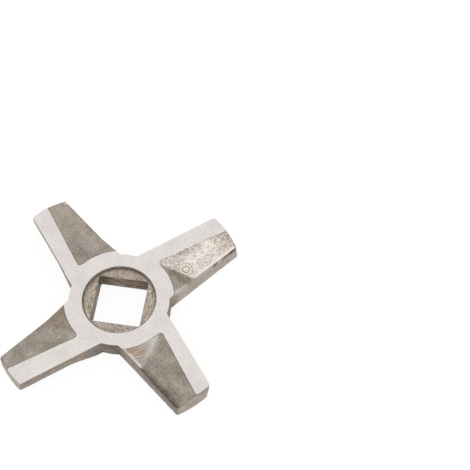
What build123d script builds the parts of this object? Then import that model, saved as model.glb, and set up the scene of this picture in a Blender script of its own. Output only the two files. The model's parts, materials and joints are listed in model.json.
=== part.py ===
from build123d import *
import math
import os

# Meat grinder knife, one cast and ground piece, in millimetres.
# Z = 0 is the back face and +Z points to the ground cutting face.
# Z is also the drive axis. The flats of the square hole face X and Y.

# Overall sizes
tip_radius = 27.0
thickness = 4.6
hub_radius = 10.4
arm_angle = 38.8  # the first arm's direction, counter-clockwise from X

# Drive hole and the round recess over it
square_side = 10.4
square_corner = 0.45
recess_radius = 7.6
recess_depth = 0.75

# Leading side of an arm, measured in the arm's own frame with X along the arm
edge_inset = 3.45  # the cutting edge's line runs this far inside the hub's rim
band_height = 1.2  # upright strip under the cutting edge
undercut = 0.87  # the back's leading edge lies this far behind the cutting edge

# Trailing side of an arm
trail_inset = 3.38  # the back's trailing edge, run on to the Y axis, is this far inside
trail_angle = 11.9  # it closes in on the centre line by this angle
trail_lean = 0.38  # how far the wall leans in from the back face to the front

# Both side walls start upright inside the hub and twist to their full slant
slant_start = hub_radius - 1.6
slant_length = 5.6

# Ground strips behind the cutting edges, one width for each arm
land_widths = (3.6, 3.5, 4.0, 3.1)
land_reach = 7.6  # these widths hold this far outside the hub
land_taper = 2.4  # the strips widen towards the tip by this angle

# Cast pockets
ring_reach = 0.93  # the ground ring round the recess ends this far outside the hub
ring_slope = 9.5  # fall of the root facet away from the ring
root_reach = 5.4  # the root facet ends this far outside the hub
relief_root = 0.85  # depth at the trailing edge beside the root facet
relief_tip = 1.25  # depth at the trailing edge at the tip

# Roundings
hub_round = 0.5
tip_round = 0.5
valley_round = 7.0
rim_round = 0.25
back_round = 0.3

# Room for the tools that cut the form
arm_root = 6.75  # an arm's body starts this far inside the hub's rim
overrun = 1.0
share_behind = 0.3  # the relief face's tool runs past the trailing edge by this share

slant_end = slant_start + slant_length
edge_offset = hub_radius - edge_inset
trail_offset = hub_radius - trail_inset
ring_radius = hub_radius + ring_reach
land_station = hub_radius + land_reach
root_station = hub_radius + root_reach
arm_start = hub_radius - arm_root
reach = tip_radius + overrun


def slope(angle):
    return math.tan(math.radians(angle))


def trail_y(x):
    """Trailing edge of the back face at distance x along the arm."""
    return -trail_offset + x * slope(trail_angle)


def land_y(x, land_width):
    """Inner edge of the ground strip at distance x along the arm."""
    return edge_offset - land_width - (x - land_station) * slope(land_taper)


def relief_depth(x):
    """Depth of the relief face at the trailing edge at distance x along the arm."""
    share = (x - root_station) / (tip_radius - root_station)
    return relief_root + (relief_tip - relief_root) * share


def share_ahead(land_width):
    """How many relief widths lie between the strip's inner edge and clear space ahead."""
    strip_y = land_y(reach, land_width)
    return (edge_offset + overrun - strip_y) / (strip_y - trail_y(reach))


def polygon(points):
    return Wire.make_polygon([Vector(*point) for point in points])


def disc(radius, height):
    return Cylinder(radius, height, align=(Align.CENTER, Align.CENTER, Align.MIN))


def arm_outline(z):
    """Outline of an arm at height z, from inside the hub to past the tip."""
    lean = trail_lean * z / thickness
    points = [
        (reach, edge_offset, z),
        (arm_start, edge_offset, z),
        (arm_start, trail_y(arm_start), z),
        (slant_start, trail_y(slant_start), z),
        (slant_end, trail_y(slant_end) + lean, z),
        (reach, trail_y(reach) + lean, z),
    ]
    return polygon(points)


def undercut_section(x):
    """Section of the tool that takes the leading wall back below its upright band."""
    foot = thickness - band_height
    low_y = edge_offset - undercut * (foot + overrun) / foot
    out_y = edge_offset + overrun
    corners = ((edge_offset, foot), (low_y, -overrun), (out_y, -overrun), (out_y, foot))
    return Face(polygon([(x, y, z) for y, z in corners]))


def undercut_tool():
    start = Vertex(slant_start, edge_offset, 0)
    return loft([start, undercut_section(slant_end), undercut_section(reach)], ruled=True)


# The relief faces, run on over the strips, stay lower than the casting
cast_height = thickness + share_ahead(max(land_widths)) * relief_depth(reach) + overrun


def relief_section(x, land_width):
    """Section of the space over the relief face at distance x along the arm.

    The face is ruled from the strip's inner edge to the trailing edge. It runs on past
    both by the same shares of its width in every section, so that both stay straight.
    """
    strip_y = land_y(x, land_width)
    width = strip_y - trail_y(x)
    near_y = strip_y + share_ahead(land_width) * width
    far_y = trail_y(x) - share_behind * width
    corners = (
        (near_y, thickness + share_ahead(land_width) * relief_depth(x)),
        (far_y, thickness - (1 + share_behind) * relief_depth(x)),
        (far_y, cast_height + overrun),
        (near_y, cast_height + overrun),
    )
    return polygon([(x, y, z) for y, z in corners])


def space_over_casting(land_width):
    """Space above both the relief face and the cone that falls from the ring."""
    relief = Solid.make_loft([relief_section(x, land_width) for x in (0, reach)], ruled=True)
    corners = (
        (arm_start, thickness + (ring_radius - arm_start) * slope(ring_slope)),
        (reach, thickness + (ring_radius - reach) * slope(ring_slope)),
        (reach, cast_height + overrun),
        (arm_start, cast_height + overrun),
    )
    profile = Face(polygon([(-radius, 0, z) for radius, z in corners]))
    return relief & Solid.revolve(profile, 360, Axis.Z)


def climbs_at(edge, radius):
    """True for an edge that runs up a wall at this distance from the axis."""
    ends = (edge @ 0, edge @ 1)
    at_radius = all(abs(math.hypot(end.X, end.Y) - radius) < 0.1 for end in ends)
    return at_radius and abs(ends[0].Z - ends[1].Z) > band_height / 2


def top_edges(solid, faces_sharing):
    """Edges of the faces that look up: 2 faces share a seam, 1 face has an outer rim."""
    edges = [e for f in solid.faces() if f.normal_at(None).Z > 0.9 for e in f.edges()]
    return [e for e in edges if sum(e.is_same(other) for other in edges) == faces_sharing]


def make_arm(land_width):
    """One arm in its own frame: cast with its roundings, then ground flat on top."""
    solid = Solid.make_loft([arm_outline(0), arm_outline(cast_height)], ruled=True)
    solid -= undercut_tool()
    solid &= disc(tip_radius, cast_height)
    solid = solid.fillet(tip_round, [e for e in solid.edges() if climbs_at(e, tip_radius)])
    solid -= space_over_casting(land_width)
    solid = solid.fillet(valley_round, top_edges(solid, 2)[:1])
    rim = [e for e in top_edges(solid, 1) if (e @ 0.5).X > arm_start + 0.01]
    solid = solid.fillet(rim_round, rim)
    return solid & disc(reach, thickness)


def make_knife():
    knife = disc(hub_radius, thickness)
    for index, land_width in enumerate(land_widths):
        knife += make_arm(land_width).rotate(Axis.Z, index * 360 / len(land_widths))
    knife = knife.fillet(hub_round, [e for e in knife.edges() if climbs_at(e, hub_radius)])
    back = knife.faces().sort_by(Axis.Z)[0]
    knife = knife.fillet(back_round, back.outer_wire().edges())
    knife -= Pos(0, 0, thickness - recess_depth) * disc(recess_radius, recess_depth)
    knife = knife.rotate(Axis.Z, arm_angle)
    return knife - extrude(RectangleRounded(square_side, square_side, square_corner), thickness)


grinder_knife = make_knife()
grinder_knife.label = "grinder_knife"
os.makedirs("parts", exist_ok=True)
export_step(grinder_knife, "parts/grinder_knife.step")
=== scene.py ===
import json
import math

import bmesh
import bpy
import numpy as np
from mathutils import Euler, Matrix, Vector
from mathutils.bvhtree import BVHTree
from mathutils.kdtree import KDTree


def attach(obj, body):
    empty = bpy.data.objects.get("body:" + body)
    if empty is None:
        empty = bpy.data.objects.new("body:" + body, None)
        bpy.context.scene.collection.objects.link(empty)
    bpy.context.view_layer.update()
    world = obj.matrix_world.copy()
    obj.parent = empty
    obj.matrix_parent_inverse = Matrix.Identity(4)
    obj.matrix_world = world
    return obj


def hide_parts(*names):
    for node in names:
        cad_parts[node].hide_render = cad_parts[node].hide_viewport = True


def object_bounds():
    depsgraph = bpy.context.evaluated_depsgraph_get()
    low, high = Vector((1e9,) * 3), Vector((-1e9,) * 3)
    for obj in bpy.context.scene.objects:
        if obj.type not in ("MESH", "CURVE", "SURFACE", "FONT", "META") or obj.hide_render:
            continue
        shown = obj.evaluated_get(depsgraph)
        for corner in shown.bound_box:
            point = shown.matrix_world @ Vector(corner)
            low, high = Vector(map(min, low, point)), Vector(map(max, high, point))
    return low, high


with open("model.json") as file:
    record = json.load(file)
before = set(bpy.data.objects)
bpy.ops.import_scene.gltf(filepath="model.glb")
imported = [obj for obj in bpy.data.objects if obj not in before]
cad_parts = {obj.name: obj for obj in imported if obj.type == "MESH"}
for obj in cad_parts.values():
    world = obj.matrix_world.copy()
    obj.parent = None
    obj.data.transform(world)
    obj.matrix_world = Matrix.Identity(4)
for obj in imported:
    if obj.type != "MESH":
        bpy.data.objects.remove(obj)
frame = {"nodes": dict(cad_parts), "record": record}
cad_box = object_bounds()

# A meat grinder knife: the solid's own form with the grain of its casting and its finishes,
# seen in the photograph's view and light

MM = 0.001

# The knife's sizes in millimetres, from the frame where it gives them
recess = next(mount for mount in frame["record"]["mounts"] if mount["name"] == "recess")
TOP = cad_box[1][2] / MM
RECESS_RADIUS = recess["dims"]["r_mm"]
RECESS_DEPTH = recess["dims"]["length_mm"]
FLOOR_HEIGHT = TOP - RECESS_DEPTH
HUB_RADIUS = 10.4
TIP_RADIUS = 27.0
LEAD_EDGE = 6.95  # from an arm's middle line to its cutting edge
ARM_ANGLE = 38.8  # the first arm's direction, counter-clockwise from X
ARM_COUNT = 4
ARM_STEP = 360 / ARM_COUNT

# Arms that differ from the rest, counted from the first as 0
ROUGH_ARM = 0  # its pocket is left rough
PAINTED_EDGE_ARM = 1  # its land has a painted shade line along its edge
TOOLED_ARM = 3  # its root shows tool marks

# The camera, from the photograph, in degrees and millimetres
CAMERA_AZIMUTH = -76.382
CAMERA_ELEVATION = 61.195
CAMERA_ROLL = -4.443
CAMERA_DISTANCE = 419.1
AIM = (20.96, 18.338, TOP)
LENS = 154.47
SENSOR = 36.0
NEAREST_SEEN = 10.0

# The studio, with lengths in metres
WHITE = (1, 1, 1, 1)
FLOOR_REACH = 3.0
FLOOR_GAP = 0.00002
FLOOR_GREY = (0.8, 0.8, 0.8, 1)  # what lights the knife from below
FLOOR_GLOW = 0.89  # what the camera sees: this glow and a grey that takes the shadow
FLOOR_SHADE = (0.16, 0.16, 0.16, 1)
WORLD_FILL = 0.78
KEY_DIRECTION = (0.32, -0.56, 0.77)  # with X to the picture's right
KEY_DISTANCE = 1.0
KEY_SIZE = 1.8
KEY_SHARE = 0.22
PICTURE_TURN = 8.55  # the picture's right-hand direction, counter-clockwise from X

# Zones of the skin, told apart by height and reach in millimetres and by the normal's Z
GROUND, POCKET, RIM, WALL, BORE, BACK = range(6)
HEIGHT_MARGIN = 0.001
BORE_MARGIN = 0.02
NEARLY_LEVEL = 0.93
NEARLY_UPRIGHT = 0.3

# Longest edge of the fine triangles in each zone, in millimetres
LONGEST_EDGE = (0.7, 0.2, 0.16, 0.34, 0.26, 0.7)
HALVINGS = 2

# Evening out the skin: edges closed below and cut above, round by round, in millimetres
EVENING = ((0.05, math.inf), (0.12, 2.0), (0.2, 1.0), (0.26, 0.62), (0.26, 0.62))
MERGE_REACH = 1e-7  # in metres
CREASE = math.radians(40)  # an edge that bends more than this keeps its line
SHARP_EDGE = math.radians(45)  # and one that bends more than this looks sharp
FLAT_TURN = math.radians(14)  # a triangle may turn by this
SEAM_BEND = math.radians(12)  # and a line of edges may bend by this
ROUND_ENOUGH = 0.3  # roundness that a triangle may fall to
CLEARLY_ROUNDER = 1.08
SETTLE_STEP = 0.6
TINY_AREA = 1e-6
SAME_PLACE = 0.0005

# Painted light and shade: how light each face of the casting is painted for the way it meets the light,
# next to the plain cast tone; arms in turn from the first
RELIEF_PAINTED_LIGHT = (2.1, 1.2, 1.2, 1.1)
ROOT_PAINTED_LIGHT = (1.12, 1.12, 1.0, 1.4)
LEAD_WALL_PAINTED_LIGHT = (0.92, 0.9, 0.92, 0.92)
TRAIL_WALL_PAINTED_LIGHT = (1.5, 1.1, 1.0, 0.82)
RIM_PAINTED_LIGHT = (1.35, 0.65, 0.7, 0.62)
TIP_PAINTED_LIGHT = 1.3
TIP_RIM_PAINTED_LIGHT = 1.1
FOOT_RIM_PAINTED_SHADE = 0.8
HUB_PAINTED_SHADE = 0.55
BACK_TONE = 1.0
RECESS_FLOOR_PAINTED_LIGHT = 1.1
RECESS_PAINTED_LIGHT = 1.3
SQUARE_PAINTED_SHADE = 0.29
PLAIN_LIGHT = 0.3

# How far those tones and the marks on the skin reach, in millimetres
HUB_SHADE = 1.8
TIP_STRIP = 2.0
SQUARE_MARGIN = 0.1
CAST_FADE = 0.3
CREST_FADE = 2.4

# Parts of a point's normal that tell which way the skin looks there
LOOKS_DOWN = -0.9
LOOKS_UP = 0.6
LOOKS_BACK = -0.2
LOOKS_OUT = 0.6
ROOT_LEAN = 0.05
ROOT_BLEND = 0.08
CREST_MIDDLE = 0.4  # the crest lies where the root has blended in by this share

# Streaks on the casting, stains and some painted light and shade: arm, start and end in that arm's frame
# and reach in millimetres, how light and how rusty
STREAKS = {
    "light edge of the relief": (0, (14.6, -3.2, 3.8), (26.4, -0.75, 3.4), 0.45, 1.4, 0.0),
    "light foot of the root": (0, (10.8, -4.3, 4.4), (13.6, -3.7, 4.0), 0.45, 1.7, 0.0),
    # Painted shade in the hollow of the first arm's root
    "painted shade in the root hollow": (0, (12.6, 0.2, 4.2), (14.0, -3.0, 3.9), 1.3, 0.6, 0.0),
    "bright middle of the relief": (0, (16.5, 0.3, 4.0), (21.0, 1.8, 3.9), 3.0, 1.35, 0.0),
    "grey border by the land": (0, (15.6, 3.5, 4.4), (20.0, 3.0, 4.4), 1.3, 0.6, 0.0),
    "dull corner of the tip": (0, (26.1, 2.4, 4.3), (26.3, 0.2, 3.6), 2.2, 0.6, 0.15),
    "dark nick at the tip": (0, (25.6, -1.2, 3.3), (26.6, -0.7, 3.3), 0.7, 0.12, 0.0),
    "dark line in the rim": (0, (23.2, -1.8, 3.2), (25.6, -1.3, 3.2), 0.4, 0.3, 0.0),
    "dark nick farther in": (0, (20.9, -2.3, 3.2), (21.5, -2.2, 3.2), 0.6, 0.25, 0.0),
    "rust on the trailing wall": (0, (10.5, -5.3, 2.6), (19.0, -4.2, 2.0), 2.6, 0.97, 0.2),
    "pale chip at the tip": (1, (26.4, -0.6, 3.4), (26.1, -1.3, 3.3), 0.5, 2.8, 0.0),
    # A painted sheen across the second arm's relief
    "painted sheen streak": (1, (14.4, -1.2, 3.9), (15.4, -2.4, 3.8), 2.2, 1.15, 0.0),
    "brown outer half": (1, (19.0, -0.4, 3.8), (26.0, 1.0, 3.8), 5.0, 1.04, 0.12),
    "dull corner by the ring": (1, (13.0, 2.6, 4.4), (14.5, 3.2, 4.5), 2.2, 0.75, 0.0),
    "rust by the hub": (2, (12.0, -3.2, 4.0), (13.6, -3.6, 3.9), 2.8, 0.95, 0.25),
    "rust on the wall": (2, (11.5, 6.3, 2.3), (14.5, 6.3, 2.3), 2.4, 1.0, 0.25),
    "brown leading wall": (2, (13.0, 6.0, 2.3), (25.0, 5.0, 2.3), 3.0, 1.0, 0.2),
    "light burr by the ring": (3, (10.4, -4.5, 4.5), (15.2, -3.3, 3.8), 0.55, 2.2, 0.0),
    "rust at the ring": (3, (11.0, -3.6, 4.4), (12.6, -2.0, 4.2), 1.5, 0.85, 0.5),
    "bright corner of the root": (3, (11.8, 2.0, 4.3), (13.7, 0.3, 4.0), 1.7, 1.5, 0.0),
    "dark seam of the rim": (3, (16.5, -2.9, 3.6), (26.4, -0.8, 3.4), 1.0, 0.5, 0.0),
    "dark patch by the seam": (3, (22.5, -1.6, 3.6), (25.5, -0.9, 3.5), 2.6, 0.75, 0.0),
}

# The grain of the casting and the ring mark on the first arm
GRAIN = {
    "Relax passes": 2,
    "Grain height": 0.04 * MM,
    "Grain size": 0.42 * MM,
    "Wall share": 0.5,
    "Coarse height": 0.07 * MM,
    "Coarse size": 0.55 * MM,
    "Crest height": 0.2 * MM,
    "Pit depth": 0.05 * MM,
    "Pit size": 1.4 * MM,
    "Rim waver": 0.12 * MM,
    "Waver size": 0.9 * MM,
    "Waver reach": 0.6 * MM,
    "Plain waver": 0.8,
    "Rough waver": 7.0,
    "Mark centre": (12.2 * MM, 9.1 * MM, 4.0 * MM),
    "Mark radius": 1.1 * MM,
    "Mark width": 0.24 * MM,
    "Mark height": 0.22 * MM,
    "Seed": 4.0,
}

# Patterns in the finishes: size of a feature in millimetres, detail, roughness and seed
PATTERNS = {
    "ground clouds": (5.0, 3.0, 0.6, 1.0),
    "ground freckles": (0.3, 3.0, 0.7, 2.0),
    "ground hairlines": (1.6, 3.0, 0.7, 3.0),
    "worn border": (0.9, 3.0, 0.7, 12.0),
    "cast clouds": (2.6, 4.0, 0.6, 5.0),
    "cast specks": (0.3, 3.0, 0.65, 6.0),
    "cast streaks": (0.35, 3.0, 0.6, 7.0),
    "cast patches": (3.0, 3.0, 0.6, 13.0),
    "rough swirls": (1.3, 3.0, 0.65, 14.0),
    "painted sparkle and dark specks": (0.4, 3.0, 0.6, 11.0),
    "tool sway": (1.3, 1.0, 0.5, 15.0),
    "tool lines": (0.3, 2.0, 0.6, 10.0),
    "bore clouds": (1.8, 3.0, 0.6, 8.0),
    "bore specks": (0.55, 4.0, 0.7, 9.0),
    "bore flow": (0.5, 3.0, 0.6, 9.0),
}
MEAN_OF_NOISE = (0.5, 0.5, 0.5)
LEVEL_WAYS = (1.0, 1.0, 0.0)

# How some of them are stretched along each axis, with small numbers for long features
HAIRLINE_STRETCH = (1.0, 14.0, 1.0)
HAIRLINE_TURN = 25
WALL_STRETCH = (0.3, 0.3, 1.0)
BORE_STRETCH = (0.2, 0.2, 1.0)
TOOL_SWAY = 0.45  # in millimetres
TOOL_BREAK = 0.12  # how fast the tool lines change along their run, next to across it

# Shades over a distance: where each begins and ends in millimetres, and its value at both
SHADES = {
    "painted shade by the recess rim": (RECESS_RADIUS + 0.03, RECESS_RADIUS + 0.12, 0.25, 1.0),
    "painted shade by the land edge": (LEAD_EDGE - 0.18, LEAD_EDGE - 0.08, 0.0, 1.0),
    "where the painted land shade starts": (HUB_RADIUS + 0.4, HUB_RADIUS + 1.2, 0.0, 1.0),
    "painted shade by the pocket rim": (0.04, 0.26, 0.5, 1.0),
    "painted shade low on the walls": (0.1, 0.5, 0.6, 1.0),
    "coarse grain by the ring mark": (0.2, 0.8, 0.3, 1.0),
    "crown of the ring mark": (0.1, 0.25, 0.6, 0.0),
    "groove inside the ring mark": (0.06, 0.22, 0.75, 0.0),
    "groove outside the ring mark": (0.04, 0.18, 0.5, 0.0),
    "below the recess floor": (FLOOR_HEIGHT - 0.15, FLOOR_HEIGHT, 1.0, 0.0),
    "above the recess floor": (FLOOR_HEIGHT + 0.02, FLOOR_HEIGHT + 0.12, 0.0, 1.0),
    "painted shade on the floor by the recess wall": (RECESS_RADIUS - 0.5, RECESS_RADIUS - 0.05, 1.0, 0.5),
    "painted shade towards the square corners": (5.2, 7.0, 1.25, 0.7),
}
GROOVE_INSIDE = 0.36  # from the ring mark's middle line, in millimetres
GROOVE_OUTSIDE = 0.3

# Colours of the ground faces
GROUND_DULL = (0.73, 0.685, 0.662, 1)
GROUND_BRIGHT = (0.795, 0.753, 0.728, 1)
FRECKLE = (0.55, 0.515, 0.485, 1)
WORN = (0.36, 0.31, 0.27, 1)
# Painted shade along the edge of one land
PAINTED_LAND_EDGE_SHADE = 0.4

# Colours and finish of the cast faces
FINE_SHARES = (0.57, 0.8)  # fine patterns next to clouds, plain and tooled
WALL_SPECKS = 0.5  # specks next to streaks
CAST_METALLIC = (0.6, 0.9)  # plain and rough
CAST_ROUGHNESS = (0.5, 0.36)  # plain and rough
# How strong the painted highlight on the crest is
CREST_HIGHLIGHT = 0.9
REDDISH_DARK = (0.208, 0.170, 0.140, 1)
REDDISH_LIGHT = (0.425, 0.367, 0.320, 1)
YELLOWISH_DARK = (0.200, 0.165, 0.127, 1)
YELLOWISH_LIGHT = (0.420, 0.366, 0.300, 1)
RUST = (0.45, 0.26, 0.12, 1)
# Colour of the painted glints on the rough pocket
PAINTED_GLINT = (0.90, 0.85, 0.80, 1)
# Painted highlight on the crest, and the paler crown of the ring mark
PALE_CREST_AND_CROWN = (0.88, 0.83, 0.78, 1)
# Dirt specks, and the darker grooves of the ring mark
DIRT_AND_GROOVE_DARK = (0.24, 0.19, 0.15, 1)
WARMTH = (1.03, 0.99, 0.955)

# Colours and finish of the recess and the square hole; pairs are for the recess and the square
STAIN_SHARES = (1.0, 0.6)
PALE_SHARES = (1.0, 0.5)
TOOL_SHARE = 0.35
# Painted shade on the wall of the recess
RECESS_WALL_PAINTED_SHADE = 0.85
BORE_METALLIC = 0.6
BORE_ROUGHNESS = 0.5
BORE_BROWN = (0.43, 0.338, 0.268, 1)
BORE_OLIVE = (0.41, 0.366, 0.303, 1)
BORE_STAIN = (0.12, 0.08, 0.05, 1)
BORE_PALE = (0.68, 0.61, 0.52, 1)


def on_arm(point):
    """Index of the arm nearest to a point, and the turn from the knife's frame into that arm's."""
    angle = math.degrees(math.atan2(point[1], point[0])) - ARM_ANGLE
    index = round(angle / ARM_STEP) % ARM_COUNT
    return index, Matrix.Rotation(-math.radians(ARM_ANGLE + index * ARM_STEP), 3, "Z")


def zone_of(face):
    """The zone that a face of the solid belongs to."""
    heights = [v.co.z / MM for v in face.verts]
    reaches = [math.hypot(v.co.x, v.co.y) / MM for v in face.verts]
    if min(heights) > TOP - HEIGHT_MARGIN:
        return GROUND
    if max(heights) < HEIGHT_MARGIN:
        return BACK
    if max(reaches) < RECESS_RADIUS + BORE_MARGIN:
        return BORE
    if face.normal.z > NEARLY_LEVEL:
        return POCKET
    if abs(face.normal.z) > NEARLY_UPRIGHT:
        return RIM
    return WALL


def lie(a, b, c):
    """A vector square to the triangle and twice its area long."""
    return (b - a).cross(c - a)


def roundness(a, b, c):
    """1 for a triangle with three equal sides, 0 for one with no area."""
    squares = (b - a).length_squared + (c - b).length_squared + (a - c).length_squared
    return 2 * math.sqrt(3) * lie(a, b, c).length / squares if squares else 0.0


def on_seam(edge):
    """True for an edge between two zones and for a crease, which is tagged."""
    one, two = edge.link_faces
    return edge.tag or one.material_index != two.material_index


def neighbours(vert):
    """The points that share an edge with this one."""
    return {edge.other_vert(vert) for edge in vert.link_edges}


def may_move(vert, goal, gone=None):
    """True if the triangles round a point keep their lie and shape when it moves to the goal."""
    for face in vert.link_faces:
        if gone in face.verts:
            continue
        before = [v.co for v in face.verts]
        after = [goal if v == vert else v.co for v in face.verts]
        old, new = lie(*before), lie(*after)
        if new.length < TINY_AREA or (old.length > TINY_AREA and old.angle(new) > FLAT_TURN):
            return False
        if roundness(*after) < min(ROUND_ENOUGH, roundness(*before)):
            return False
    return True


def may_leave(vert, edge):
    """True if a point can slide along this edge without bending a seam."""
    seams = [e for e in vert.link_edges if on_seam(e)]
    if not seams:
        return True
    if len(seams) != 2 or edge not in seams:
        return False
    one, two = (e.other_vert(vert).co - vert.co for e in seams)
    return one.angle(two, 0.0) > math.pi - SEAM_BEND


def keeps_shape(vert, edge):
    """True if a point can go to the other end of this edge without changing the shape."""
    kept = edge.other_vert(vert)
    return may_leave(vert, edge) and may_move(vert, kept.co, gone=kept)


def close_short_edges(bm, shortest, may_close):
    """Closes each edge shorter than this that may be closed and that leaves the skin whole."""
    while True:
        merges, touched = {}, set()
        short = [e for e in bm.edges if e.calc_length() < shortest]
        for edge in sorted(short, key=lambda e: e.calc_length()):
            if touched.intersection(edge.verts):
                continue
            for vert in edge.verts:
                kept = edge.other_vert(vert)
                if len(neighbours(vert) & neighbours(kept)) == 2 and may_close(vert, edge):
                    merges[vert] = kept
                    touched |= neighbours(vert) | neighbours(kept)
                    break
        if not merges:
            return
        bmesh.ops.weld_verts(bm, targetmap=merges)


def cut_long_edges(bm, longest):
    """Cuts each edge longer than this at its middle and joins the cut to the corners opposite."""
    long_edges = [e for e in bm.edges if e.calc_length() > longest]
    for edge in sorted(long_edges, key=lambda e: -e.calc_length()):
        faces = list(edge.link_faces)
        half, middle = bmesh.utils.edge_split(edge, edge.verts[0], 0.5)
        half.tag = edge.tag
        for face in faces:
            corners = list(face.verts)
            opposite = corners[(corners.index(middle) + 2) % 4]
            bmesh.utils.face_split(face, middle, opposite)


def turn_edges(bm):
    """Turns each edge inside a zone whose two triangles get rounder by it and keep their lie."""
    for edge in list(bm.edges):
        if on_seam(edge):
            continue
        corners = list(edge.link_faces[0].verts)
        a, b = edge.verts
        if corners[(corners.index(a) + 1) % 3] != b:
            a, b = b, a
        c, d = (next(v for v in face.verts if v not in (a, b)) for face in edge.link_faces)
        now = min(roundness(a.co, b.co, c.co), roundness(b.co, a.co, d.co))
        then = min(roundness(a.co, d.co, c.co), roundness(d.co, b.co, c.co))
        if then < now * CLEARLY_ROUNDER + TINY_AREA or d in neighbours(c):
            continue
        old = lie(a.co, b.co, c.co) + lie(b.co, a.co, d.co)
        new = (lie(a.co, d.co, c.co), lie(d.co, b.co, c.co))
        if max(part.angle(old, math.pi) for part in new) < FLAT_TURN:
            bmesh.utils.edge_rotate(edge, False)


def settle(bm, surface):
    """Moves each point off the seams towards the middle of its neighbours, along the surface."""
    bm.normal_update()
    for vert in bm.verts:
        if any(on_seam(e) for e in vert.link_edges):
            continue
        around = [edge.other_vert(vert).co for edge in vert.link_edges]
        step = (sum(around, Vector()) / len(around) - vert.co) * SETTLE_STEP
        step -= vert.normal * step.dot(vert.normal)
        goal = surface.find_nearest(vert.co + step)[0]
        if may_move(vert, goal):
            vert.co = goal


def halve_long_edges(points, faces, zones):
    """Cuts each edge above its zone's limit at its middle.

    A triangle with corners a, b and c is made anew by how many of its sides are cut, with
    the cuts' middles p, q and r.
    """
    limits = np.array(LONGEST_EDGE)
    pairs = np.sort(np.stack([faces, np.roll(faces, -1, 1)], 2).reshape(-1, 2), axis=1)
    edges, owner = np.unique(pairs, axis=0, return_inverse=True)
    owner = owner.reshape(-1, 3)
    allowed = np.full(len(edges), np.inf)
    np.minimum.at(allowed, owner.ravel(), np.repeat(limits[zones], 3))
    cut = np.linalg.norm(points[edges[:, 0]] - points[edges[:, 1]], axis=1) > allowed
    middle = np.full(len(edges), -1)
    middle[cut] = len(points) + np.arange(cut.sum())
    points = np.concatenate([points, points[edges[cut]].mean(axis=1)])
    middles = middle[owner]
    cuts = (middles >= 0).sum(axis=1)
    made, made_zones = [faces[cuts == 0]], [zones[cuts == 0]]
    for k in range(3):
        one = (cuts == 1) & (middles[:, k] >= 0)
        a, b, c = (faces[one, (k + i) % 3] for i in range(3))
        p = middles[one, k]
        made += [np.stack([a, p, c], 1), np.stack([p, b, c], 1)]
        made_zones += [zones[one]] * 2
        two = (cuts == 2) & (middles[:, (k + 2) % 3] < 0)
        a, b, c = (faces[two, (k + i) % 3] for i in range(3))
        p, q = middles[two, k], middles[two, (k + 1) % 3]
        across = np.linalg.norm(points[a] - points[q], axis=1)
        shorter = (across < np.linalg.norm(points[p] - points[c], axis=1))[:, None]
        made.append(np.stack([p, b, q], 1))
        made.append(np.where(shorter, np.stack([a, p, q], 1), np.stack([a, p, c], 1)))
        made.append(np.where(shorter, np.stack([a, q, c], 1), np.stack([p, q, c], 1)))
        made_zones += [zones[two]] * 3
    three = cuts == 3
    (a, b, c), (p, q, r) = faces[three].T, middles[three].T
    made += [np.stack(t, 1) for t in ((a, p, r), (p, b, q), (r, q, c), (p, q, r))]
    made_zones += [zones[three]] * 4
    return points, np.concatenate(made), np.concatenate(made_zones)


def as_arrays(bm):
    bm.verts.index_update()
    points = np.array([v.co for v in bm.verts])
    faces = np.array([[v.index for v in f.verts] for f in bm.faces])
    return points, faces, np.array([f.material_index for f in bm.faces])


def as_mesh(points, faces, zones):
    mesh = bpy.data.meshes.new("skin")
    mesh.from_pydata(points.tolist(), [], faces.tolist())
    mesh.polygons.foreach_set("material_index", zones)
    return mesh


def fine_skin(node):
    """A copy of the solid's skin in millimetres, in even triangles that can carry the grain."""
    bm = bmesh.new()
    bm.from_mesh(node.data)
    bmesh.ops.remove_doubles(bm, verts=bm.verts, dist=MERGE_REACH)
    for face in bm.faces:
        face.material_index = zone_of(face)
    bmesh.ops.scale(bm, vec=Vector((1, 1, 1)) / MM, verts=bm.verts)
    bm.normal_update()
    surface = BVHTree.FromBMesh(bm)
    for edge in bm.edges:
        edge.tag = edge.calc_face_angle(0.0) > CREASE
    for shortest, longest in EVENING:
        close_short_edges(bm, shortest, keeps_shape)
        turn_edges(bm)
        cut_long_edges(bm, longest)
        turn_edges(bm)
        settle(bm, surface)
    arrays = as_arrays(bm)
    for _ in range(HALVINGS):
        arrays = halve_long_edges(*arrays)
    mesh = as_mesh(*arrays)
    bm.clear()
    bm.from_mesh(mesh)
    bpy.data.meshes.remove(mesh)
    for vert in bm.verts:
        vert.co = surface.find_nearest(vert.co)[0]
    # Points that this brought to one place are joined, whatever lies round them
    close_short_edges(bm, SAME_PLACE, lambda vert, edge: True)
    return bm


def distance_from(bm, picks):
    """Finds how far a point lies from the nearest of the edges that are picked."""
    points = [v.co for e in bm.edges if picks(e) for v in e.verts]
    tree = KDTree(len(points))
    for number, point in enumerate(points):
        tree.insert(point, number)
    tree.balance()
    return lambda point: tree.find(point)[2]


def zones_at(part):
    return {face.material_index for face in part.link_faces}


def is_crease(edge):
    """True for the ground faces' borders and the sharp edges of the rest."""
    zones = zones_at(edge)
    return (GROUND in zones and len(zones) > 1) or edge.calc_face_angle(0.0) > SHARP_EDGE


def between_0_and_1(value):
    return min(1.0, max(0.0, value))


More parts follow.
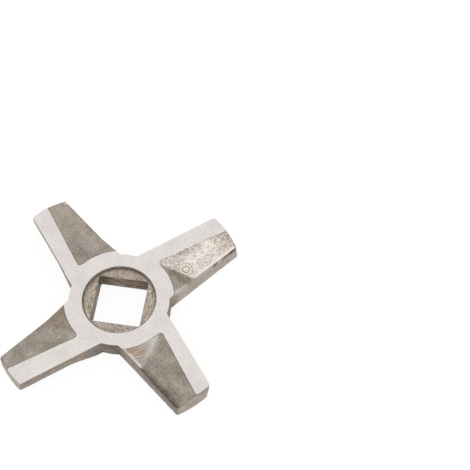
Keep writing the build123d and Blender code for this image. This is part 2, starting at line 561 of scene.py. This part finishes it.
def painted_light_at(arm, place, normal, zones, root):
    """How light the casting is painted at a point of an arm for the way its face meets the light, next to
    the plain cast tone.
    """
    if BACK in zones and normal.z < LOOKS_DOWN:
        return BACK_TONE
    if BORE in zones:
        # Painted light on the recess floor and on the recess wall
        if normal.z > LOOKS_UP:
            return RECESS_FLOOR_PAINTED_LIGHT
        # The walls of the square hole are painted in shade
        return SQUARE_PAINTED_SHADE if place.xy.length < RECESS_RADIUS - SQUARE_MARGIN else RECESS_PAINTED_LIGHT
    if RIM in zones:
        # Rims that look down are painted in shade
        if normal.z < 0:
            return FOOT_RIM_PAINTED_SHADE
        # Painted light and shade on the other rims, by the side they face
        return RIM_PAINTED_LIGHT[arm] if normal.y < LOOKS_BACK else TIP_RIM_PAINTED_LIGHT
    # Painted light and shade on the relief and the root, by arm
    if POCKET in zones:
        return RELIEF_PAINTED_LIGHT[arm] + (ROOT_PAINTED_LIGHT[arm] - RELIEF_PAINTED_LIGHT[arm]) * root
    # Painted light on the walls at the tips
    if place.x > TIP_RADIUS - TIP_STRIP and abs(normal.y) < LOOKS_OUT:
        return TIP_PAINTED_LIGHT
    # Painted light and shade on the walls, by the side they face
    tone = LEAD_WALL_PAINTED_LIGHT[arm] if normal.y > 0 else TRAIL_WALL_PAINTED_LIGHT[arm]
    # Painted shade on the walls near the hub, where they meet it
    near_hub = between_0_and_1((HUB_RADIUS + HUB_SHADE - place.xy.length) / HUB_SHADE)
    return tone + (HUB_PAINTED_SHADE - tone) * near_hub


def off_line(point, start, end):
    """Distance of a point from the straight line that runs from start to end."""
    run = end - start
    along = between_0_and_1((point - start).dot(run) / run.length_squared)
    return (point - start - run * along).length


def pocket_normal(vert, zones):
    """The normal at a point, without the ground face's part where it borders a pocket."""
    if POCKET not in zones:
        return vert.normal
    return sum((f.normal for f in vert.link_faces if f.material_index == POCKET), Vector()).normalized()


def streaked(arm, place, tone):
    """The tone at a point with the streaks of its arm over it, and how rusty they make it."""
    stain = 0.0
    for streak_arm, start, end, reach, light, rust in STREAKS.values():
        if arm == streak_arm:
            near = max(0.0, 1 - off_line(place, Vector(start), Vector(end)) / reach)
            tone *= light ** near
            stain += rust * near
    return tone, stain


def marks_at(vert, zones, rim, crease):
    """What the grain and the finishes need to know about one point of the skin."""
    arm, turn = on_arm(vert.co)
    in_pocket = float(POCKET in zones)
    place = turn @ vert.co
    normal = turn @ pocket_normal(vert, zones)
    outward = place.xy.normalized().dot(normal.xy)
    root = between_0_and_1((outward - ROOT_LEAN) / ROOT_BLEND) * in_pocket
    tone, stain = streaked(arm, place, painted_light_at(arm, place, normal, zones, root))
    rough = in_pocket * (arm == ROUGH_ARM)
    over_valley = max(0.0, 1 - abs(root - CREST_MIDDLE) / CREST_MIDDLE)
    return {
        "cast_share": 0.0 if GROUND in zones else min(1.0, crease / CAST_FADE),
        "rim_distance": rim * MM,
        "pocket": in_pocket,
        "tooled": root * (arm == TOOLED_ARM),
        "rough": rough * (1 - root),
        "crest": rough * over_valley * min(1.0, rim / CREST_FADE),
        # Painted light and shade of the face, with its streaks, as a power on the cast colour
        "painted_light_and_streaks": math.log(PLAIN_LIGHT * tone) / math.log(PLAIN_LIGHT),
        "stain": stain,
    }


def zone_marks(bm):
    """Writes each point's marks, each face's zone and the sharp edges, and scales to metres."""
    bm.normal_update()
    from_crease = distance_from(bm, is_crease)
    from_pocket_rim = distance_from(bm, lambda edge: zones_at(edge) == {GROUND, POCKET})
    marks = [marks_at(v, zones_at(v), from_pocket_rim(v.co), from_crease(v.co)) for v in bm.verts]
    for name in marks[0]:
        layer = bm.verts.layers.float.new(name)
        for vert, values in zip(bm.verts, marks):
            vert[layer] = values[name]
    for edge in bm.edges:
        edge.smooth = not is_crease(edge)
    zone_layer = bm.faces.layers.int.new("zone")
    for face in bm.faces:
        face[zone_layer] = face.material_index
        face.material_index = 0
        face.smooth = True
    bmesh.ops.scale(bm, vec=Vector((MM, MM, MM)), verts=bm.verts)
    return bm


def put(tree, kind, inputs=None, **settings):
    """Adds a node, with its settings and with each input as a value or a link."""
    made = tree.nodes.new(kind)
    for name, value in settings.items():
        setattr(made, name, value)
    for name, value in (inputs or {}).items():
        if isinstance(value, bpy.types.NodeSocket):
            tree.links.new(value, made.inputs[name])
        else:
            made.inputs[name].default_value = value
    return made


def maths(tree, operation, *values):
    return put(tree, "ShaderNodeMath", dict(enumerate(values)), operation=operation).outputs[0]


def times(tree, value, *factors):
    for factor in factors:
        value = maths(tree, "MULTIPLY", value, factor)
    return value


def plus(tree, value, *others):
    for other in others:
        value = maths(tree, "ADD", value, other)
    return value


def vector_maths(tree, operation, one, two):
    return put(tree, "ShaderNodeVectorMath", {0: one, 1: two}, operation=operation).outputs[0]


def scaled(tree, vector, factor):
    """A vector or a colour times a number."""
    return put(tree, "ShaderNodeVectorMath", {0: vector, "Scale": factor}, operation="SCALE").outputs[0]


def fade(tree, value, low, high, start=0.0, end=1.0):
    """Runs smoothly from start to end while value runs from low to high."""
    ends = {"Value": value, "From Min": low, "From Max": high, "To Min": start, "To Max": end}
    return put(tree, "ShaderNodeMapRange", ends, interpolation_type="SMOOTHSTEP").outputs["Result"]


def number_between(tree, share, start, end):
    return put(tree, "ShaderNodeMix", {0: share, 2: start, 3: end}).outputs[0]


def colour_between(tree, share, start, end):
    ends = {"Factor": share, 6: start, 7: end}
    return put(tree, "ShaderNodeMix", ends, data_type="RGBA").outputs[2]


def shade(tree, distance, name):
    """The shade of this name in SHADES, at a distance in metres."""
    low, high, start, end = SHADES[name]
    return fade(tree, distance, low * MM, high * MM, start, end)


def mark(tree, name, kind="FLOAT"):
    """What zone_marks wrote under this name."""
    if tree.type == "GEOMETRY":
        made = put(tree, "GeometryNodeInputNamedAttribute", {"Name": name}, data_type=kind)
        return made.outputs["Attribute"]
    return put(tree, "ShaderNodeAttribute", attribute_name=name).outputs["Fac"]


def noise(tree, where, size, detail, roughness, seed):
    """Noise from 0 to 1 with features of this size in metres."""
    scale = maths(tree, "DIVIDE", 1.0, size)
    inputs = {"Vector": where, "W": seed, "Scale": scale, "Detail": detail, "Roughness": roughness}
    return put(tree, "ShaderNodeTexNoise", inputs, noise_dimensions="4D").outputs


def pattern(tree, where, name):
    """The noise of this name in PATTERNS."""
    size, detail, roughness, seed = PATTERNS[name]
    return noise(tree, where, size * MM, detail, roughness, seed)[0]


def ridge_distance(tree, place, centre, radius):
    """How far a point lies from the middle line of a ring."""
    apart = put(tree, "ShaderNodeVectorMath", {0: place, 1: centre}, operation="DISTANCE")
    return maths(tree, "ABSOLUTE", maths(tree, "SUBTRACT", apart.outputs["Value"], radius))


def kind_of(value):
    """The kind of socket that holds a value of GRAIN."""
    if isinstance(value, int):
        return "NodeSocketInt"
    return "NodeSocketVector" if isinstance(value, tuple) else "NodeSocketFloat"


def open_tree(name, values):
    """A node tree that takes a shape and these values and gives back a shape, and its inputs."""
    tree = bpy.data.node_groups.new(name, "GeometryNodeTree")
    tree.interface.new_socket("Geometry", in_out="INPUT", socket_type="NodeSocketGeometry")
    tree.interface.new_socket("Geometry", in_out="OUTPUT", socket_type="NodeSocketGeometry")
    for label, value in values.items():
        tree.interface.new_socket(label, in_out="INPUT", socket_type=kind_of(value))
    return tree, tree.nodes.new("NodeGroupInput").outputs


def relaxed(tree, shape, place, share, passes):
    """The shape with its points evened out against their neighbours, by this share."""
    blur = {"Value": place, "Iterations": passes, "Weight": share}
    evened = put(tree, "GeometryNodeBlurAttribute", blur, data_type="FLOAT_VECTOR").outputs[0]
    return put(tree, "GeometryNodeSetPosition", {"Geometry": shape, "Position": evened}).outputs[0]


def moved(tree, shape, direction, length):
    """The shape with each point moved by this length times its direction."""
    inputs = {"Geometry": shape, "Offset": scaled(tree, direction, length)}
    return put(tree, "GeometryNodeSetPosition", inputs).outputs[0]


def casting_lift(tree, given, place):
    """How far the casting stands out of its smooth form: ring mark and crest less grain and pits."""
    seed = given["Seed"]
    fine = noise(tree, place, given["Grain size"], detail=3.0, roughness=0.6, seed=seed)[0]
    fine = fade(tree, fine, low=0.3, high=0.7)
    on_wall = fade(tree, mark(tree, "pocket"), low=0.0, high=1.0, start=given["Wall share"], end=1.0)
    fine = times(tree, fine, on_wall, given["Grain height"])

    off_ridge = ridge_distance(tree, place, given["Mark centre"], given["Mark radius"])
    coarse = noise(tree, place, given["Coarse size"], detail=2.0, roughness=0.5, seed=seed)[0]
    coarse = fade(tree, coarse, low=0.35, high=0.65)
    coarse = times(tree, coarse, mark(tree, "rough"), given["Coarse height"])
    coarse = times(tree, coarse, shade(tree, off_ridge, "coarse grain by the ring mark"))

    density = maths(tree, "DIVIDE", 1.0, given["Pit size"])
    spots = put(tree, "ShaderNodeTexVoronoi", {"Vector": place, "Scale": density}).outputs["Distance"]
    pits = times(tree, fade(tree, spots, low=0.05, high=0.3, start=1.0, end=0.0), given["Pit depth"])

    ridge = fade(tree, off_ridge, low=0.0, high=given["Mark width"], start=1.0, end=0.0)
    ridge = times(tree, ridge, given["Mark height"])
    crest = times(tree, mark(tree, "crest"), given["Crest height"])
    return maths(tree, "SUBTRACT", plus(tree, ridge, crest), plus(tree, fine, coarse, pits))


def rim_sway(tree, given, place):
    """The level direction in which a pocket's border wavers at each point, and how far."""
    size, seed = given["Waver size"], given["Seed"]
    sway = noise(tree, place, size, detail=3.0, roughness=0.6, seed=seed)[1]
    sway = vector_maths(tree, "SUBTRACT", sway, MEAN_OF_NOISE)
    sway = vector_maths(tree, "MULTIPLY", sway, LEVEL_WAYS)
    near = fade(tree, mark(tree, "rim_distance"), low=0.0, high=given["Waver reach"], start=1.0, end=0.0)
    share = plus(tree, times(tree, mark(tree, "rough"), given["Rough waver"]), given["Plain waver"])
    return sway, times(tree, share, near, given["Rim waver"])


def coated(tree, shape, finish, chosen=True):
    """The shape with this finish on the chosen faces."""
    inputs = {"Geometry": shape, "Selection": chosen, "Material": finish}
    return put(tree, "GeometryNodeSetMaterial", inputs).outputs[0]


def grain_tree(ground, cast, bore):
    """Nodes that give the cast skin its grain and each zone its finish."""
    tree, given = open_tree("cast grain", GRAIN)
    place = put(tree, "GeometryNodeInputPosition").outputs[0]
    normal = put(tree, "GeometryNodeInputNormal").outputs[0]
    share = mark(tree, "cast_share")
    shape = relaxed(tree, given["Geometry"], place, share, given["Relax passes"])
    shape = moved(tree, shape, normal, times(tree, casting_lift(tree, given, place), share))
    shape = moved(tree, shape, *rim_sway(tree, given, place))
    shape = coated(tree, shape, cast)
    zone = mark(tree, "zone", "INT")
    for number, finish in ((GROUND, ground), (BORE, bore)):
        here = put(tree, "FunctionNodeCompare", {2: zone, 3: number}, data_type="INT", operation="EQUAL")
        shape = coated(tree, shape, finish, here.outputs[0])
    whole = put(tree, "GeometryNodeRealizeInstances", {"Geometry": shape}).outputs[0]
    tree.links.new(whole, tree.nodes.new("NodeGroupOutput").inputs[0])
    return tree


def apply_tree(piece, tree, values):
    """Runs a node tree on a piece and keeps the result as the piece's own mesh."""
    modifier = piece.modifiers.new(tree.name, "NODES")
    modifier.node_group = tree
    for item in tree.interface.items_tree:
        if item.in_out == "INPUT" and item.name in values:
            modifier[item.identifier] = values[item.name]
    bpy.context.view_layer.update()
    view = bpy.context.evaluated_depsgraph_get()
    result = bpy.data.meshes.new_from_object(piece.evaluated_get(view), depsgraph=view)
    piece.modifiers.remove(modifier)
    piece.data = result


def new_material(name):
    """An empty material and its node tree."""
    material = bpy.data.materials.new(name)
    material.use_nodes = True
    tree = material.node_tree
    tree.nodes.clear()
    return material, tree


def close_material(tree, shader):
    out = tree.nodes.new("ShaderNodeOutputMaterial")
    tree.links.new(shader, out.inputs["Surface"])


def bare_steel(tree, colour, metallic, roughness, **more):
    """Ends a material in steel of this colour."""
    inputs = {"Base Color": colour, "Metallic": metallic, "Roughness": roughness, **more}
    close_material(tree, put(tree, "ShaderNodeBsdfPrincipled", inputs).outputs[0])


def on_knife(tree):
    """The place on the knife, in its own frame."""
    return put(tree, "ShaderNodeTexCoord").outputs["Object"]


def from_axis(tree, where):
    """Distance of a point from the knife's axis, and its height."""
    x, y, z = put(tree, "ShaderNodeSeparateXYZ", {0: where}).outputs
    return maths(tree, "SQRT", plus(tree, times(tree, x, x), times(tree, y, y))), z


def stretched(tree, where, scale=(1.0, 1.0, 1.0), turn=0.0):
    """A place scaled along each axis and then turned about the knife's axis, in degrees."""
    inputs = {"Vector": where, "Rotation": (0, 0, math.radians(turn)), "Scale": scale}
    return put(tree, "ShaderNodeMapping", inputs).outputs[0]


def tool_marks(tree, where, away):
    """Noise in wavy lines that run round the knife's axis."""
    sway = fade(tree, pattern(tree, where, "tool sway"), low=0.3, high=0.7, end=TOOL_SWAY * MM)
    outwards = put(tree, "ShaderNodeCombineXYZ", {0: plus(tree, away, sway)}).outputs[0]
    ripple = vector_maths(tree, "ADD", scaled(tree, where, TOOL_BREAK), outwards)
    return pattern(tree, ripple, "tool lines")


def deepened(tree, colour, painted_light_and_streaks):
    """A colour raised to a power: above 1 darker and browner, below 1 lighter and greyer."""
    return put(tree, "ShaderNodeGamma", {"Color": colour, "Gamma": painted_light_and_streaks}).outputs[0]


def painted_land_edge_shade(tree, where):
    """Paints shade along the edge of one arm's land, above its leading wall."""
    turned = stretched(tree, where, turn=-ARM_ANGLE - ARM_STEP * PAINTED_EDGE_ARM)
    along, aside, _ = put(tree, "ShaderNodeSeparateXYZ", {0: turned}).outputs
    share = times(tree, shade(tree, aside, "painted shade by the land edge"), shade(tree, along, "where the painted land shade starts"))
    return number_between(tree, share, 1.0, PAINTED_LAND_EDGE_SHADE)


def ground_steel():
    """The lapped faces: near white, finely freckled, with hairlines and painted shade lines by the recess
    rim and along one land's edge.
    """
    material, tree = new_material("ground_steel")
    where = on_knife(tree)
    bright = fade(tree, pattern(tree, where, "ground clouds"), low=0.3, high=0.7)
    colour = colour_between(tree, bright, GROUND_DULL, GROUND_BRIGHT)
    freckled = fade(tree, pattern(tree, where, "ground freckles"), low=0.45, high=0.8, end=0.8)
    colour = colour_between(tree, freckled, colour, FRECKLE)
    worn = fade(tree, pattern(tree, where, "worn border"), low=0.45, high=0.65, end=0.7)
    by_rough_pocket = fade(tree, mark(tree, "rough"), low=0.1, high=0.9)
    colour = colour_between(tree, times(tree, worn, by_rough_pocket), colour, WORN)
    # Painted shade by the rim of the recess
    painted_recess_edge_shade = shade(tree, from_axis(tree, where)[0], "painted shade by the recess rim")
    colour = scaled(tree, colour, times(tree, painted_recess_edge_shade, painted_land_edge_shade(tree, where)))
    hairlines = pattern(tree, stretched(tree, where, HAIRLINE_STRETCH, HAIRLINE_TURN), "ground hairlines")
    roughness = fade(tree, hairlines, low=0.3, high=0.7, start=0.54, end=0.62)
    bump = {"Strength": 0.25, "Distance": 0.01 * MM, "Height": hairlines}
    bump = put(tree, "ShaderNodeBump", bump).outputs[0]
    bare_steel(tree, colour, metallic=1.0, roughness=roughness, Normal=bump)
    return material


def mottled(tree, where, specks):
    """The plain cast colour: clouds and specks, streaks on the walls, tool lines where tooled."""
    tooled = mark(tree, "tooled")
    streaks = pattern(tree, stretched(tree, where, WALL_STRETCH), "cast streaks")
    walls = number_between(tree, WALL_SPECKS, streaks, specks)
    tool_lines = tool_marks(tree, where, from_axis(tree, where)[0])
    pockets = number_between(tree, tooled, specks, tool_lines)
    fine = number_between(tree, mark(tree, "pocket"), walls, pockets)
    fine_share = number_between(tree, tooled, *FINE_SHARES)
    mottle = number_between(tree, fine_share, pattern(tree, where, "cast clouds"), fine)
    patches = fade(tree, pattern(tree, where, "cast patches"), low=0.4, high=0.6)
    dark = colour_between(tree, patches, REDDISH_DARK, YELLOWISH_DARK)
    light = colour_between(tree, patches, REDDISH_LIGHT, YELLOWISH_LIGHT)
    return colour_between(tree, fade(tree, mottle, low=0.37, high=0.63), dark, light)


def ring_line(tree, where, name, offset):
    """The shade of this name along a line that runs this far outside the ring mark's middle."""
    radius = GRAIN["Mark radius"] + offset * MM
    return shade(tree, ridge_distance(tree, where, GRAIN["Mark centre"], radius), name)


def roughened(tree, where, colour, rough):
    """A colour with the rough pocket's swirls, painted glints, a painted highlight on its crest, a paler
    crown and darker grooves on the ring mark, and dirt over it.
    """
    swirls = fade(tree, pattern(tree, where, "rough swirls"), low=0.4, high=0.6, start=1.0, end=0.0)
    darker = fade(tree, times(tree, rough, swirls), low=0.0, high=1.0, start=1.0, end=0.8)
    colour = scaled(tree, colour, darker)
    # Painted glints and dirt specks share one pattern
    sparkle_and_specks = pattern(tree, where, "painted sparkle and dark specks")
    glints = times(tree, fade(tree, sparkle_and_specks, low=0.48, high=0.62, end=0.6), rough)
    colour = colour_between(tree, glints, colour, PAINTED_GLINT)
    # Painted highlight along the crest between root and relief
    colour = colour_between(tree, times(tree, mark(tree, "crest"), CREST_HIGHLIGHT), colour, PALE_CREST_AND_CROWN)
    crown = times(tree, ring_line(tree, where, "crown of the ring mark", offset=0.0), rough)
    colour = colour_between(tree, crown, colour, PALE_CREST_AND_CROWN)
    # The ring mark's grooves are made darker
    inside = ring_line(tree, where, "groove inside the ring mark", -GROOVE_INSIDE)
    outside = ring_line(tree, where, "groove outside the ring mark", GROOVE_OUTSIDE)
    dirt = times(tree, fade(tree, sparkle_and_specks, low=0.38, high=0.5, start=0.4, end=0.0), rough)
    dirt = maths(tree, "MAXIMUM", dirt, maths(tree, "MAXIMUM", inside, outside))
    colour = colour_between(tree, dirt, colour, DIRT_AND_GROOVE_DARK)
    return colour_between(tree, rough, colour, vector_maths(tree, "MULTIPLY", colour, WARMTH))


def cast_steel():
    """The cast faces: brown-grey and mottled, each face in its painted light and shade, with painted
    shade along the pocket rims and low on the walls, and rust.
    """
    material, tree = new_material("cast_steel")
    where = on_knife(tree)
    specks = pattern(tree, where, "cast specks")
    # Each face's painted light and shade and its streaks
    colour = deepened(tree, mottled(tree, where, specks), mark(tree, "painted_light_and_streaks"))
    # Painted shade along the pocket rims
    painted_rim_shade = shade(tree, mark(tree, "rim_distance"), "painted shade by the pocket rim")
    # Painted shade low on the walls, where they meet the floor
    painted_foot_shade = shade(tree, from_axis(tree, where)[1], "painted shade low on the walls")
    colour = scaled(tree, colour, times(tree, painted_rim_shade, painted_foot_shade))
    rusty = times(tree, mark(tree, "stain"), fade(tree, specks, low=0.3, high=0.6))
    colour = colour_between(tree, rusty, colour, RUST)
    rough = mark(tree, "rough")
    colour = roughened(tree, where, colour, rough)
    metallic = number_between(tree, rough, *CAST_METALLIC)
    roughness = number_between(tree, rough, *CAST_ROUGHNESS)
    bare_steel(tree, colour, metallic, roughness)
    return material


def bore_steel():
    """The recess and the square hole: beige, brown and olive in fine patches, with painted shade in the
    hole, towards its corners and in the recess by its wall.
    """
    material, tree = new_material("bore_steel")
    where = on_knife(tree)
    away, height = from_axis(tree, where)
    in_square = shade(tree, height, "below the recess floor")
    tool_lines = tool_marks(tree, where, away)
    fine = number_between(tree, TOOL_SHARE, pattern(tree, where, "bore specks"), tool_lines)
    flow = pattern(tree, stretched(tree, where, BORE_STRETCH), "bore flow")
    fine = number_between(tree, in_square, fine, flow)
    olive = fade(tree, pattern(tree, where, "bore clouds"), low=0.4, high=0.6)
    colour = colour_between(tree, olive, BORE_BROWN, BORE_OLIVE)
    stained = fade(tree, fine, low=0.36, high=0.52, start=0.9, end=0.0)
    stained = times(tree, stained, number_between(tree, in_square, *STAIN_SHARES))
    colour = colour_between(tree, stained, colour, BORE_STAIN)
    pale = fade(tree, fine, low=0.5, high=0.64, end=0.9)
    pale = times(tree, pale, number_between(tree, in_square, *PALE_SHARES))
    colour = colour_between(tree, pale, colour, BORE_PALE)
    # Painted shade in the square hole and painted light on the recess, from each face's tone
    colour = deepened(tree, colour, mark(tree, "painted_light_and_streaks"))
    # Painted shade on the recess floor by its wall, and on the wall itself
    floor_rim_shade = shade(tree, away, "painted shade on the floor by the recess wall")
    on_recess_wall = shade(tree, height, "above the recess floor")
    painted_recess_shade = number_between(tree, on_recess_wall, floor_rim_shade, RECESS_WALL_PAINTED_SHADE)
    # Painted light and shade in the square: darker towards its corners, lighter mid-wall
    light = number_between(tree, in_square, painted_recess_shade, shade(tree, away, "painted shade towards the square corners"))
    bare_steel(tree, scaled(tree, colour, light), BORE_METALLIC, BORE_ROUGHNESS)
    return material


def sees_white(tree):
    """1 for rays that should see plain white: the camera's, and those in gloss and glass."""
    path = put(tree, "ShaderNodeLightPath").outputs
    seen = maths(tree, "MAXIMUM", path["Is Camera Ray"], path["Is Glossy Ray"])
    return maths(tree, "MAXIMUM", seen, path["Is Transmission Ray"])


def studio_floor():
    """A floor that looks white, and that lights the knife like a plain light grey one."""
    bm = bmesh.new()
    bmesh.ops.create_grid(bm, x_segments=1, y_segments=1, size=FLOOR_REACH)
    mesh = bpy.data.meshes.new("floor")
    bm.to_mesh(mesh)
    bm.free()
    mesh.transform(Matrix.Translation((0, 0, -FLOOR_GAP)))
    floor = bpy.data.objects.new("floor", mesh)
    bpy.context.scene.collection.objects.link(floor)
    material, tree = new_material("floor_white")
    plain = put(tree, "ShaderNodeBsdfDiffuse", {"Color": FLOOR_GREY}).outputs[0]
    glow = put(tree, "ShaderNodeEmission", {"Color": WHITE, "Strength": FLOOR_GLOW}).outputs[0]
    shadow = put(tree, "ShaderNodeBsdfDiffuse", {"Color": FLOOR_SHADE}).outputs[0]
    white = put(tree, "ShaderNodeAddShader", {0: glow, 1: shadow}).outputs[0]
    seen = put(tree, "ShaderNodeMixShader", {0: sees_white(tree), 1: plain, 2: white}).outputs[0]
    close_material(tree, seen)
    mesh.materials.append(material)


def studio_world():
    """Even light from all sides, plain white where it is seen."""
    world = bpy.data.worlds.new("studio")
    world.use_nodes = True
    tree = world.node_tree
    tree.nodes.clear()
    strength = fade(tree, sees_white(tree), low=0.0, high=1.0, start=WORLD_FILL, end=1.0)
    back = put(tree, "ShaderNodeBackground", {"Color": WHITE, "Strength": strength}).outputs[0]
    out = tree.nodes.new("ShaderNodeOutputWorld")
    tree.links.new(back, out.inputs["Surface"])
    bpy.context.scene.world = world


def softbox(name, direction, distance, size, share):
    """A square lamp that adds this share of the plain light level straight below it."""
    data = bpy.data.lights.new(name, "AREA")
    data.shape = "SQUARE"
    data.size = size
    data.energy = share * math.pi ** 2 * distance ** 2
    lamp = bpy.data.objects.new(name, data)
    bpy.context.scene.collection.objects.link(lamp)
    turn = Matrix.Rotation(math.radians(PICTURE_TURN), 3, "Z")
    away = (turn @ Vector(direction)).normalized()
    lamp.location = away * distance
    lamp.rotation_euler = away.to_track_quat("Z", "Y").to_euler()


def camera():
    """The camera that took the photograph."""
    data = bpy.data.cameras.new("camera")
    data.sensor_width = SENSOR
    data.lens = LENS
    data.clip_start = NEAREST_SEEN * MM
    view = bpy.data.objects.new("camera", data)
    bpy.context.scene.collection.objects.link(view)
    azimuth, elevation = math.radians(CAMERA_AZIMUTH), math.radians(CAMERA_ELEVATION)
    back = Vector((
        math.cos(elevation) * math.cos(azimuth),
        math.cos(elevation) * math.sin(azimuth),
        math.sin(elevation),
    ))
    view.location = (Vector(AIM) + back * CAMERA_DISTANCE) * MM
    level = back.to_track_quat("Z", "Y")
    roll = Euler((0, 0, math.radians(CAMERA_ROLL))).to_quaternion()
    view.rotation_mode = "QUATERNION"
    view.rotation_quaternion = level @ roll
    bpy.context.scene.camera = view


bm = zone_marks(fine_skin(frame["nodes"]["grinder_knife"]))
skin = bpy.data.meshes.new("knife_skin")
bm.to_mesh(skin)
bm.free()
knife = bpy.data.objects.new("knife_body", skin)
bpy.context.scene.collection.objects.link(knife)
apply_tree(knife, grain_tree(ground_steel(), cast_steel(), bore_steel()), GRAIN)
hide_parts("grinder_knife")
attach(knife, "root")

studio_floor()
studio_world()
softbox("key", KEY_DIRECTION, KEY_DISTANCE, KEY_SIZE, KEY_SHARE)
camera()
bpy.context.scene.view_settings.view_transform = "Standard"
